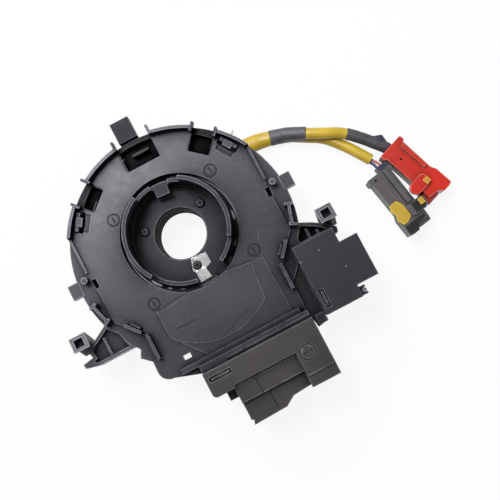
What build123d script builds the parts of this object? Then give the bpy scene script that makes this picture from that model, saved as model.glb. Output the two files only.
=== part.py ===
from build123d import *

import os
from math import atan2, cos, degrees, pi, radians, sin, sqrt, tan

# Steering clock spring, in millimetres. The Z axis is the steering shaft's axis and +Z points to
# the column, so the back of the unit faces up and its front lies on the surface at z = 0.
# +Y points to the single snap arm, at twelve o'clock.

# Shaft bore and the rotor's rings, as radii
bore_radius = 12.3
bore_wall = 2.0
hub_radius = 20.0
hub_wall = 1.8
inner_drum_radius = 25.5
drum_wall = 1.8
drum_gap = 0.6
skirt_gap = 1.4
skirt_wall = 1.6
skirt_depth = 6.5

# Heights of the layers, from the front to the back
hub_height = 7.5
disc_thickness = 2.5
case_gap = 0.5
case_floor = 2.0
chamber_height = 16.0
cover_thickness = 2.0
rim_height = 5.0
collar_seat_drop = 6.5
collar_base = 2.0
collar_height = 20.0

# Outer case and back cover
case_inner_radius = 47.5
case_wall = 1.5
flange_overhang = 5.7
flange_shift = -5.0
flange_thickness = 2.0
rim_wall = 1.5
chord_inset = 1.0
waist_inset = 0.7
bay_half_width = 36.0
lip_width = 2.8
neck_wall = 1.3
lip_thickness = 1.3
washer_thickness = 0.5
running_gap = 0.3
pocket_drop = 6.0
pocket_floor = 1.6
lug_rise = 0.5

# Collar
collar_inset = 0.2
collar_wall = 2.0
collar_notch_depth = 8.0

# Screws
screw_offset = 4.95
screw_shank_radius = 1.25
screw_head_radius = 2.2
screw_head_height = 1.5
screw_grip = 9.0
screw_boss_radius = 3.6

# Connector blocks on the case
block_rise = 7.5
block_height = 21.0
block_cover = 1.7
block_wall = 1.8

# Flat cable
cable_thickness = 0.35
cable_play = 0.9
cable_turns = 5
sheet_thickness = 0.3

# Leads and plugs
trunk_diameter = 7.0
sleeve_diameter = 5.6
wire_diameter = 1.4
wrap_thickness = 0.45
plug_half_width = 6.4
plug_height = 12.0

# Radii and half widths worked out from the sizes above
opening_radius = inner_drum_radius + lip_width
outer_drum_radius = opening_radius + neck_wall + drum_gap + drum_wall
collar_radius = inner_drum_radius - collar_inset
screw_circle = bore_radius + screw_offset
case_outer_radius = case_inner_radius + case_wall
rotor_radius = case_outer_radius + skirt_gap + skirt_wall
flange_radius = case_outer_radius + flange_overhang
chord_half_width = case_outer_radius - chord_inset
waist_half_width = case_inner_radius - waist_inset

# Levels worked out from the sizes above
disc_back = hub_height + disc_thickness
case_front = disc_back + case_gap
chamber_low = case_front + case_floor
cover_low = chamber_low + chamber_height
floor_top = cover_low + cover_thickness
rim_top = floor_top + rim_height
collar_seat = cover_low - collar_seat_drop
collar_floor = collar_seat + collar_base
collar_top = collar_floor + collar_height
block_top = floor_top + block_rise
block_low = block_top - block_height
pocket_top = floor_top - pocket_drop
pocket_low = pocket_top - pocket_floor


def keep(piece, name):
    """Labels a finished piece and writes it to its own file."""
    piece.part.label = name
    export_step(piece.part, f"parts/{name}.step")


def section(inner, outer, low, high):
    """One rectangle of a section to be revolved: two radii and two heights."""
    with Locations(((inner + outer) / 2, (low + high) / 2)):
        Rectangle(outer - inner, high - low)


def slab(low, high, points, mode=Mode.ADD):
    """An upright prism on a closed outline, between two heights."""
    with BuildSketch(Plane.XY.offset(low)) as outline:
        with BuildLine():
            Polyline(*points, close=True)
        make_face()
    extrude(outline.sketch, amount=high - low, mode=mode)


def brick(x_span, y_span, z_span, mode=Mode.ADD):
    """A rectangular block from its three pairs of limits."""
    middle = tuple(sum(span) / 2 for span in (x_span, y_span, z_span))
    with Locations(middle):
        Box(*(span[1] - span[0] for span in (x_span, y_span, z_span)), mode=mode)


def polar(radius, angle):
    return radius * cos(radians(angle)), radius * sin(radians(angle))


def radial_brick(angle, radii, half_width, z_span, mode=Mode.ADD):
    """A rectangular block that points away from the shaft axis at an angle."""
    middle = (*polar(sum(radii) / 2, angle), sum(z_span) / 2)
    with Locations(Location(middle, (0, 0, angle))):
        Box(radii[1] - radii[0], 2 * half_width, z_span[1] - z_span[0], mode=mode)


def wedge(radius, first, last, low, high, mode=Mode.ADD):
    """An upright sector of a disc between two angles, used to cut walls and slots."""
    arc_angles = [first + (last - first) * step / 6 for step in range(7)]
    points = [(0, 0), *(polar(radius / cos(radians((last - first) / 12)), a) for a in arc_angles)]
    slab(low, high, points, mode)


def mirrored(points, side):
    return [(side * x, y) for x, y in points]


os.makedirs("parts", exist_ok=True)

# ROTOR BODY

# Rotor: front disc with its skirt, the hub round the shaft and two drums
lead_slot_angle = -60.0
lead_slot_half_width = 2.0
socket_angle = 42.0
with BuildPart() as rotor:
    with BuildSketch(Plane.XZ):
        section(bore_radius, rotor_radius, hub_height, disc_back)
        section(bore_radius, bore_radius + bore_wall, 0, collar_seat)
        section(hub_radius - hub_wall, hub_radius, 0, hub_height)
        section(inner_drum_radius - drum_wall, inner_drum_radius, disc_back, collar_seat)
        section(outer_drum_radius - drum_wall, outer_drum_radius, disc_back, cover_low - 1)
        section(rotor_radius - skirt_wall, rotor_radius, hub_height, hub_height + skirt_depth)
    revolve(axis=Axis.Z)
    with Locations((0, 0, disc_back)):
        with PolarLocations(screw_circle, 3, start_angle=30):
            Cylinder(
                screw_boss_radius, collar_seat - disc_back,
                align=(Align.CENTER, Align.CENTER, Align.MIN),
            )
    with Locations((0, 0, collar_seat)):
        with PolarLocations(screw_circle, 3, start_angle=30):
            Hole(screw_shank_radius + 0.05, depth=screw_grip + 0.5)
    slot_radii = (outer_drum_radius - drum_wall - 1, outer_drum_radius + 1)
    radial_brick(lead_slot_angle, slot_radii, lead_slot_half_width, (disc_back + 1, cover_low), Mode.SUBTRACT)
keep(rotor, "rotor")

# Collar: base ring with arc slots, and the wall with the turn signal cam's notches
collar_hole_radius = bore_radius + 0.3
collar_base_radius = opening_radius - 0.6
notch_span = (62.0, 115.0)
deep_span = (75.0, 95.5)
medium_span = (-61.5, -34.3)
strip_gap_span = (-96.5, -61.5)
low_span = (-145.0, -96.5)
key_angle = 85.25
key_half_width = 3.4
notch_low = collar_top - collar_notch_depth
deep_low = collar_top - 12.5
medium_low = collar_top - 7.0
low_low = collar_top - 14.0
with BuildPart() as collar:
    with BuildSketch(Plane.XZ):
        section(collar_hole_radius, collar_base_radius, collar_seat, collar_floor)
        section(collar_radius - collar_wall, collar_radius, collar_floor, collar_top)
    revolve(axis=Axis.Z)
    for span, low in (
        (notch_span, notch_low),
        (deep_span, deep_low),
        (medium_span, medium_low),
        (strip_gap_span, collar_floor),
        (low_span, low_low),
    ):
        wedge(collar_radius + 1, *span, low, collar_top + 1, Mode.SUBTRACT)
    key_radii = (18.8, collar_radius - collar_wall / 2)
    radial_brick(key_angle, key_radii, key_half_width, (collar_floor, deep_low))
    slot_middle = (collar_radius + collar_base_radius) / 2 + 0.1
    slot_width = 1.0
    slot_starts = (-12, -40, -58, -97, -118, -131, -150)
    slot_sweeps = (9, 5, 5, 19, 4, 4, 12)
    with BuildSketch(Plane.XY.offset(collar_seat)):
        for start, sweep_angle in zip(slot_starts, slot_sweeps):
            slot_arc = CenterArc((0, 0), slot_middle, start, sweep_angle)
            SlotArc(slot_arc, slot_width)
    extrude(amount=collar_base, mode=Mode.SUBTRACT)
    with Locations((0, 0, collar_floor)):
        with PolarLocations(screw_circle, 3, start_angle=30):
            Hole(screw_shank_radius + 0.35, depth=collar_base)
keep(collar, "collar")

# Metal contact strip on the collar's floor, held by the screw at six o'clock
strip_thickness = 0.4
strip_outline = [
    (-1.3, -12.9), (6.5, -13.5), (6.6, -18.9), (3.2, -20.4), (3.9, -25.2), (-2.2, -25.4), (-2.1, -20.4),
    (-3.0, -18.6),
]
with BuildPart() as contact_strip:
    slab(collar_floor, collar_floor + strip_thickness, strip_outline)
    with Locations((0, -screw_circle, collar_floor + strip_thickness)):
        Hole(screw_shank_radius + 0.35, depth=strip_thickness)
keep(contact_strip, "contact_strip")

# Three pan head screws
for number, angle in enumerate((30, 150, 270), start=1):
    seat = collar_floor + (strip_thickness if angle == 270 else 0)
    with BuildPart() as screw:
        with Locations((*polar(screw_circle, angle), seat)):
            Cylinder(
                screw_head_radius, screw_head_height,
                align=(Align.CENTER, Align.CENTER, Align.MIN),
            )
            Cylinder(
                screw_shank_radius, seat - collar_seat + screw_grip,
                align=(Align.CENTER, Align.CENTER, Align.MAX),
            )
        fillet(screw.edges().group_by(Axis.Z)[-1], 0.6)
        with Locations((*polar(screw_circle, angle), seat + screw_head_height)):
            Box(2.4, 0.6, 2.0, mode=Mode.SUBTRACT)
            Box(0.6, 2.4, 2.0, mode=Mode.SUBTRACT)
    keep(screw, f"screw_{number}")

# Inner lead block, where the flat cable's inner end meets the rotor's busbars
lead_block_half_width = 5.0
lead_block_reach = sqrt((outer_drum_radius - drum_wall - 0.2) ** 2 - lead_block_half_width ** 2)
with BuildPart() as inner_lead_block:
    block_radii = (inner_drum_radius + 0.2, lead_block_reach)
    radial_brick(lead_slot_angle, block_radii, lead_block_half_width, (disc_back, disc_back + 7.5))
    tongue_radii = (lead_block_reach - 1, outer_drum_radius + 0.3)
    radial_brick(lead_slot_angle, tongue_radii, lead_slot_half_width - 0.3, (disc_back + 1.5, disc_back + 7))
keep(inner_lead_block, "inner_lead_block")

# Front switch socket, its mouth facing the steering wheel
front_socket_x = (-15.0, 15.0)
front_socket_y = (-45.0, -29.0)
front_socket_wall = 1.6
front_socket_roof = hub_height - front_socket_wall
front_mouth_x = (front_socket_x[0] + front_socket_wall, front_socket_x[1] - front_socket_wall)
front_mouth_y = (front_socket_y[0] + front_socket_wall, front_socket_y[1] - front_socket_wall)
with BuildPart() as front_socket:
    brick(front_socket_x, front_socket_y, (0, hub_height))
    fillet(front_socket.edges().filter_by(Axis.Z), 1.5)
    brick(front_mouth_x, front_mouth_y, (-1, front_socket_roof), Mode.SUBTRACT)
keep(front_socket, "front_socket")

# A base strip with its row of pins in the front socket
pin_base = 0.8
with BuildPart() as front_terminals:
    terminal_y = sum(front_socket_y) / 2
    brick(
        (front_mouth_x[0] + 2, front_mouth_x[1] - 2), (terminal_y - 1.5, terminal_y + 1.5),
        (front_socket_roof - pin_base, front_socket_roof),
    )
    with Locations((0, terminal_y, front_socket_roof - pin_base)):
        with GridLocations(3.0, 0, 7, 1):
            Box(0.8, 0.8, 1.6, align=(Align.CENTER, Align.CENTER, Align.MAX))
keep(front_terminals, "front_terminals")

# White side socket at the rotor's edge, its mouth facing outwards
side_socket_radii = (rotor_radius - 5, rotor_radius + 6.5)
side_socket_half_width = 4.0
side_socket_z = (0.6, hub_height)
with BuildPart() as white_socket:
    radial_brick(socket_angle, side_socket_radii, side_socket_half_width, side_socket_z)
    radial_brick(
        socket_angle, (side_socket_radii[1] - 7, side_socket_radii[1] + 1),
        side_socket_half_width - 1.2, (side_socket_z[0] + 1.2, side_socket_z[1] - 1.2), Mode.SUBTRACT,
    )
keep(white_socket, "white_socket")

# Lead clamp on the rotor's front, which the yellow trunk comes out of
clamp_end = (34.0, 23.5)
trunk_start_angle = degrees(atan2(1.8, 8.5))
with BuildPart() as lead_clamp:
    with Locations(Location((*clamp_end, hub_height / 2), (0, 0, trunk_start_angle))):
        Box(9.0, 10.0, hub_height, align=(Align.MAX, Align.CENTER, Align.CENTER))
    fillet(lead_clamp.edges().filter_by(Axis.Z), 1.5)
keep(lead_clamp, "lead_clamp")


def lead(points, diameter, name):
    """A lead's plain tube along straight runs joined by tangent arcs as large as the runs allow."""
    corners = [Vector(*point) for point in points]
    runs = [b - a for a, b in zip(corners, corners[1:])]
    radii = []
    for before, after in zip(runs, runs[1:]):
        half_turn = radians(before.get_angle(after)) / 2
        radii.append(0.45 * min(before.length, after.length) / tan(half_turn))
    with BuildPart() as tube:
        with BuildLine():
            path = FilletPolyline(*corners, radius=radii)
        with BuildSketch(Plane(origin=path @ 0, z_dir=path % 0)):
            Circle(diameter / 2)
        sweep()
    length = path.length
    expected = pi * diameter ** 2 / 4 * length
    print(name, "radii", [round(r, 1) for r in radii], "length", round(length, 1),
          "volume ratio", round(tube.part.volume / expected, 4))
    keep(tube, name)


def ahead(start, heading, distance):
    """A point in the table's plane, a distance from another at a heading in degrees."""
    return start[0] + distance * cos(radians(heading)), start[1] + distance * sin(radians(heading))


# Trunk sleeve and its tape wrap, where the leads to the two plugs part
trunk_height = trunk_diameter / 2
trunk_route = [
    (*clamp_end, trunk_height), (42.5, 25.3, trunk_height), (51.0, 25.7, trunk_height),
    (58.7, 24.4, trunk_height),
]
lead(trunk_route, trunk_diameter, "trunk_sleeve")

low_branch_height = sleeve_diameter / 2 + wrap_thickness
high_branch_height = low_branch_height + sleeve_diameter + 0.2
wrap_end = (78.5, 16.0)
wrap_heading = -28.0
wrap_middle = (low_branch_height + high_branch_height) / 2
with BuildPart() as trunk_wrap:
    trunk_last = Vector(*trunk_route[-1]) - Vector(*trunk_route[-2])
    wrap_direction = Vector(*ahead((0, 0), wrap_heading, 1), 0)
    with BuildSketch(Plane(origin=trunk_route[-1], x_dir=(0, 0, 1), z_dir=trunk_last)):
        Ellipse(trunk_height, trunk_height + wrap_thickness)
    with BuildSketch(Plane(origin=(*wrap_end, wrap_middle), x_dir=(0, 0, 1), z_dir=wrap_direction)):
        Ellipse(wrap_middle, sleeve_diameter / 2 + wrap_thickness)
    loft()
keep(trunk_wrap, "trunk_wrap")

# Upper branch: yellow sleeve, then dark tape up to the red plug
tape_diameter = 6.2
red_entry = (107.9, -6.6)
sleeve_turn = Vector(92.6, 9.2, 8.1)
tape_turn = Vector(100.8, 1.9, 7.2)
sleeve_end = sleeve_turn + (tape_turn - sleeve_turn) * 0.58
high_route = [
    (*wrap_end, high_branch_height), (*ahead(wrap_end, wrap_heading, 8.6), high_branch_height),
    tuple(sleeve_turn), tuple(sleeve_end),
]
lead(high_route, sleeve_diameter, "red_lead_sleeve")
lead([tuple(sleeve_end), tuple(tape_turn), (*red_entry, 6.4)], tape_diameter, "red_lead_tape")

# Lower branch: yellow sleeve, then two bare wires up to the grey plug
low_start = ahead(wrap_end, wrap_heading - 90, 1.0)
low_route = [
    (*low_start, low_branch_height), (*ahead(low_start, wrap_heading, 4.6), low_branch_height),
    (86.4, 9.3, 3.5), (90.5, 4.2, 4.2), (94.9, -2.0, 5.0), (99.7, -9.6, 5.0),
]
lead(low_route, sleeve_diameter, "grey_lead_sleeve")
grey_place = Plane(origin=(98.8, -18.0, 0), x_dir=(*ahead((0, 0), -80, 1), 0))
red_place = Plane(origin=(110.2, -9.0, 0), x_dir=(*ahead((0, 0), -70, 1), 0))


def on_plug(place, along, across, height):
    """A point given along, across and above a plug."""
    return place.from_local_coords((along, across, height))


wire_height = 5.0
collar_reach = 3.0
for number, (across, shift) in enumerate(((4.6, 1.1), (2.4, -1.1)), start=1):
    start = ahead(low_route[-1], -57.7 + 90, shift)
    entry = on_plug(grey_place, -collar_reach, across, wire_height)
    bend = on_plug(grey_place, -collar_reach - 2.3, across, wire_height)
    lead([(*start, wire_height), tuple(bend), tuple(entry)], wire_diameter, f"grey_wire_{number}")


def plug_box(place, along, across, height, mode=Mode.ADD):
    """A block in a plug's own axes: along it, across it and above the table."""
    middle = Location((sum(along) / 2, sum(across) / 2, sum(height) / 2))
    with Locations(place.location * middle):
        Box(along[1] - along[0], across[1] - across[0], height[1] - height[0], mode=mode)


# Airbag plugs: the same moulding lies on one side in red and on the other in grey
barrel_radius = 4.3
barrel_bore = 3.0
barrel_along = 29.0
barrel_height = 6.2
body_edge = 6.0
shoulder_edge = 6.8
shoulder_start = 21.0
tail_length = 34.0
tail_side = 0.9
collar_length = 2.8
collar_edge = 7.1
red_ear_along = 22.9
grey_ear_along = 24.0
ear_width = 6.4
ear_across = (-1.0, 10.2)
ear_rise = 1.0
ear_depth = 1.4
pad_along = (15.8, 27.4)
pad_across = (-7.2, -0.3)
pad_waist = 1.2
pad_recess = 1.2
pad_thickness = 1.2
pad_play = 0.2
stem_along = (19.5, 23.5)
stem_across = (-5.2, -2.2)
stem_depth = 5.0


def plug_outline(place, side, points, low, high, radius, mode=Mode.ADD):
    """An upright prism with rounded corners, drawn in a plug's own axes."""
    with BuildSketch(place.offset(low)) as outline:
        with BuildLine():
            Polyline(*((along, side * across) for along, across in points), close=True)
        make_face()
        fillet(outline.vertices(), radius)
    extrude(outline.sketch, amount=high - low, mode=mode)


def pad_points(play):
    """The lock pad's outline, with a waist at each long side; play makes the recess larger."""
    first, last = pad_along[0] - play, pad_along[1] + play
    near, far = pad_across[0] - play, pad_across[1] + play
    middle = (first + last) / 2
    return [
        (first, near + pad_waist), (first + 3.2, near), (middle, near + pad_waist), (last - 3.2, near),
        (last, near + pad_waist), (last, far - 3.0), (last - 1.6, far), (first + 3.4, far),
        (first, far - 1.6),
    ]


def plug_body(place, side, ridge, ear_along, barrel_reach, pad_below):
    """Body, entry collar, ridge, ear and barrel; side is +1 where the barrel points to the left."""
    body_points = [
        (0, -body_edge), (shoulder_start, 0.4 - body_edge), (shoulder_start + 3, -shoulder_edge),
        (tail_length - 0.6, -shoulder_edge), (tail_length, 2 - shoulder_edge), (tail_length, -1.6),
        (tail_length - 2.4, tail_side), (tail_length - 3.2, body_edge), (0, body_edge),
    ]
    plug_outline(place, side, body_points, 0, plug_height, 0.5)
    collar_points = [(-0.3, -collar_edge), (collar_length, -collar_edge), (collar_length, collar_edge),
                     (-0.3, collar_edge)]
    plug_outline(place, side, collar_points, 1.0, plug_height, 0.8)
    plug_box(place, *ridge, (plug_height - 0.5, plug_height + 1.0))
    ear_middle = (ear_along, side * sum(ear_across) / 2, plug_height - ear_depth)
    with BuildSketch(Plane(place.location * Location(ear_middle))) as ear:
        RectangleRounded(ear_width, ear_across[1] - ear_across[0], ear_width / 2 - 0.1)
    extrude(ear.sketch, amount=ear_depth + ear_rise)
    turn = (-side * 90, 0, 0)
    barrel_start = Location((barrel_along, side * tail_side, barrel_height), turn)
    with Locations(place.location * barrel_start):
        Cylinder(barrel_radius, barrel_reach - tail_side, align=(Align.CENTER, Align.CENTER, Align.MIN))
    mouth = Location((barrel_along, side * barrel_reach, barrel_height), turn)
    with Locations(place.location * mouth):
        Cylinder(barrel_bore, 6.0, align=(Align.CENTER, Align.CENTER, Align.MAX), mode=Mode.SUBTRACT)
    pad_limits = (0, pad_recess) if pad_below else (plug_height - pad_recess, plug_height + ear_rise + 1)
    plug_outline(place, side, pad_points(pad_play), *pad_limits, 0.6, Mode.SUBTRACT)


def plug_lock(place, side, low):
    """The lock's pad, seated in the plug's recess."""
    plug_outline(place, side, pad_points(0), low, low + pad_thickness, 0.7)


with BuildPart() as red_plug:
    plug_body(red_place, -1, ((3.5, 19), (3.2, 5.2)), red_ear_along, 8.0, True)
    boss_start = Vector(*red_entry, 6.4)
    with BuildSketch(Plane(origin=boss_start, z_dir=boss_start - tape_turn)):
        Circle(tape_diameter / 2 - 0.4)
    extrude(amount=6.0)
keep(red_plug, "red_plug")

with BuildPart() as red_plug_lock:
    plug_lock(red_place, -1, pad_recess - pad_thickness)
keep(red_plug_lock, "red_plug_lock")

with BuildPart() as grey_plug:
    plug_body(grey_place, 1, ((0.4, 20), (2.0, 4.2)), grey_ear_along, 6.8, False)
    plug_box(grey_place, (-collar_reach, 0), (0.8, 6.2), (1.5, plug_height - 1.0))
    pocket_across = (stem_across[0] - pad_play, stem_across[1] + pad_play)
    pocket_along = (stem_along[0] - pad_play, stem_along[1] + pad_play)
    stem_pocket_low = plug_height - pad_recess - stem_depth - pad_play
    plug_box(grey_place, pocket_along, pocket_across, (stem_pocket_low, plug_height), Mode.SUBTRACT)
keep(grey_plug, "grey_plug")

with BuildPart() as grey_plug_lock:
    lock_low = plug_height - pad_recess + pad_play
    plug_lock(grey_place, 1, lock_low)
    plug_box(grey_place, stem_along, stem_across, (lock_low - stem_depth, lock_low))
keep(grey_plug_lock, "grey_plug_lock")

# The small yellow ends of the plugs' shorting clips, seen on their ears
for name, place, along, across in (
    ("red_plug_clip", red_place, red_ear_along + 1.2, (-2.3, 0.7)),
    ("grey_plug_clip", grey_place, grey_ear_along - 0.8, (6.6, 9.2)),
):
    with BuildPart() as clip:
        clip_low = plug_height + ear_rise
        plug_box(place, (along - 1.6, along + 1.6), across, (clip_low, clip_low + 0.5))
    keep(clip, name)

# STATOR BODY

# Outer case: front wall, cylinder, flange, the bay for the flat cable's end, brackets and latches
lip_inner_radius = inner_drum_radius + running_gap
lip_top = collar_seat - running_gap - washer_thickness
lip_low = lip_top - lip_thickness
connector_edge = -64.0
bay_low = cover_low - 13.5
bay_wall = 1.6
bay_points = [(-31, -36), (-31, -59.5), (-20.5, connector_edge), (33, connector_edge), (33, -36)]
lobe_points = [
    (-36, -44), (-39.2, -48.3), (-39.2, -54), (-37.6, -57.9), (-33.5, -59.6), (-20.5, connector_edge),
    (-20, -50),
]
step_points = [(-41.6, -40), (-43.7, -44.2), (-39.2, -48.3), (-37, -49), (-35, -44)]
shelf_points = [(33, -38), (43, -30), (43, -69.1), (37.4, -70), (36.4, connector_edge), (33, connector_edge)]
block_edge_x, block_edge_y = polar(case_outer_radius + 4.66, -36.74)
bracket_root = flange_radius - 4.2
bracket_low = 14.5
bracket_top = cover_low - 0.5
left_tray_floor = bracket_top - 3.2
left_bracket = [
    (0, -21.5), (8.5, -26.3), (10.5, -26.9), (13.9, -30.2), (13.2, -33.3), (18.8, -34.3), (18.3, -36.6),
    (12.8, -38.0), (-6.5, -38.0), (-4.5, -29),
]
left_tray = [(1.5, -24.2), (8.0, -27.9), (9.9, -28.5), (12.0, -30.8), (11.4, -34.6), (13.6, -35.2),
             (12.2, -36.5), (-5.0, -36.5), (-3.0, -29)]
right_bracket = [(x, block_edge_y + y) for x, y in (
    (0, 10.6), (7.2, 7.1), (11.0, 4.5), (16.5, 0.1), (16.0, -2.5), (13.5, -2.5), (13.5, 0),
    (block_edge_x - bracket_root - 0.8, 0), (-4.5, 3.1))]
right_tray = [(x, block_edge_y + y) for x, y in (
    (1.5, 8.1), (6.6, 5.3), (10.0, 2.9), (11.4, 1.1), (-2.4, 1.1), (-2.4, 3.6))]
hook_half_width = 4.0
hook_x = bracket_root + 14.3
window_angles = (33.5, 146.5)


def bracket(side, points, tray, floor, ribs):
    """An open tray with ribs, cored out below its floor; outward distances from the root, then Y."""
    outline = [(side * (bracket_root + x), y) for x, y in points]
    slab(bracket_low, bracket_top, outline)
    inside = [(side * (bracket_root + x), y) for x, y in tray]
    slab(floor, bracket_top + 1, inside, Mode.SUBTRACT)
    if floor - bay_wall > bracket_low:
        slab(bracket_low - 0.1, floor - bay_wall, inside, Mode.SUBTRACT)
    bottom = min(y for _, y in tray) - 0.3
    for distance in ribs:
        rib_x = side * (bracket_root + distance)
        brick((rib_x - 0.6, rib_x + 0.6), (bottom, -24.4 - 0.6 * distance),
              (floor - bay_wall / 2, bracket_top - 1))


def hook(side):
    """A leaning snap hook with a square window through its head."""
    profile = [(-30.5, bracket_low + 1), (-27, bracket_low + 1), (-21.0, floor_top + 1.9),
               (-21.0, floor_top + 4.5), (-28.2, floor_top + 5.9), (-28.2, floor_top + 2.4),
               (-25.6, floor_top + 0.6)]
    start = side * hook_x - hook_half_width
    with BuildSketch(Plane.YZ.offset(start)) as outline:
        with BuildLine():
            Polyline(*profile, close=True)
        make_face()
    extrude(outline.sketch, amount=2 * hook_half_width)
    window = (side * hook_x - 2.2, side * hook_x + 2.2)
    brick(window, (-26.8, -22.6), (floor_top - 0.5, floor_top + 6.5), Mode.SUBTRACT)


def bar(start, end, thickness, low, high, mode=Mode.ADD):
    """A straight upright wall between two points."""
    run = Vector(*end) - Vector(*start)
    heading = degrees(atan2(run.Y, run.X))
    middle = ((start[0] + end[0]) / 2, (start[1] + end[1]) / 2, (low + high) / 2)
    with Locations(Location(middle, (0, 0, heading))):
        Box(run.length, thickness, high - low, mode=mode)


arm_root = case_outer_radius + 1.6
arm_end = flange_shift + flange_radius + 11.5
lug_span = (flange_radius - 1.3, flange_radius + 4.5)
with BuildPart() as outer_case:
    slab(bay_low, cover_low, bay_points)
    with BuildSketch(Plane.XY.offset(bay_low + bay_wall)):
        with BuildLine():
            Polyline(*bay_points, close=True)
        make_face()
        offset(amount=-bay_wall, kind=Kind.INTERSECTION, mode=Mode.REPLACE)
    extrude(amount=cover_low - bay_low, mode=Mode.SUBTRACT)
    with BuildSketch(Plane.XY.offset(cover_low - flange_thickness)):
        with Locations((0, flange_shift)):
            Circle(flange_radius)
        for points in (lobe_points, step_points):
            with BuildLine():
                Polyline(*points, close=True)
            make_face()
        with BuildLine():
            Polyline(*bay_points, close=True)
        make_face()
        with BuildLine():
            Polyline((-29.4, -48), (-29.4, -58), (-20, -62.4), (31.4, -62.4), (31.4, -48), close=True)
        make_face(mode=Mode.SUBTRACT)
        with Locations((block_edge_x, block_edge_y)):
            Rectangle(20, 40, align=(Align.MIN, Align.MAX), mode=Mode.SUBTRACT)
    extrude(amount=flange_thickness)
    slab(cover_low - 4, cover_low - flange_thickness, shelf_points)
    bracket(-1, left_bracket, left_tray, left_tray_floor, (4.6,))
    bracket(1, right_bracket, right_tray, bracket_low + bay_wall, (3.0, 7.4))
    for side in (-1, 1):
        hook(side)
        lug_x = sorted((side * lug_span[0], side * lug_span[1]))
        brick(lug_x, (-5.4, 1.8), (cover_low - 4.5, cover_low + lug_rise))
        with Locations((side * (chord_half_width + 1.8), 0.2, cover_low)):
            Cylinder(1.6, 6.0, align=(Align.CENTER, Align.CENTER, Align.MIN))
        latch = [(side * (waist_half_width + x), y) for x, y in (
            (2.9, -11.8), (6.6, -13.3), (4.6, -13.0), (1.9, -21.9), (0.6, -21.2), (4.1, -22.9))]
        for start, end in zip(latch[::2], latch[1::2]):
            bar(start, end, 1.3, cover_low - flange_thickness, rim_top)
    brick((-6.0, 3.5), (case_inner_radius, arm_root + 1), (cover_low - 6, cover_low - 3))
    brick((-6.0, 3.5), (arm_root, arm_end), (cover_low - 6, cover_low + 1.2))
    brick((38.2, 42.6), (-69.3, -64.5), (cover_low - 2, cover_low + 0.8))
    with Locations((0, 0, chamber_low)):
        Cylinder(case_inner_radius, chamber_height, align=(Align.CENTER, Align.CENTER, Align.MIN),
                 mode=Mode.SUBTRACT)
    with BuildSketch(Plane.XZ):
        section(case_inner_radius, case_outer_radius, case_front, cover_low)
        section(outer_drum_radius + 0.6, case_outer_radius, case_front, chamber_low)
    revolve(axis=Axis.Z)
    slot_radii = (case_inner_radius - 1.5, case_outer_radius + 2)
    radial_brick(lead_slot_angle, slot_radii, 2.2, (chamber_low + 3, cover_low - 1.5), Mode.SUBTRACT)
    brick((-8, 19), (connector_edge - 1, connector_edge + 2), (bay_low + 3, cover_low - 3), Mode.SUBTRACT)
    brick((-29, -22.4), (-57, -50.4), (bay_low - 1, bay_low + bay_wall + 1), Mode.SUBTRACT)
    for angle in window_angles:
        wall_radii = (case_inner_radius, case_outer_radius)
        radial_brick(angle, wall_radii, 4.4, (cover_low - 1, floor_top + 1.6))
        tooth_radii = (case_inner_radius - 1.6, case_outer_radius)
        radial_brick(angle, tooth_radii, 2.2, (floor_top + 0.2, floor_top + 2.2))
keep(outer_case, "outer_case")

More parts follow.
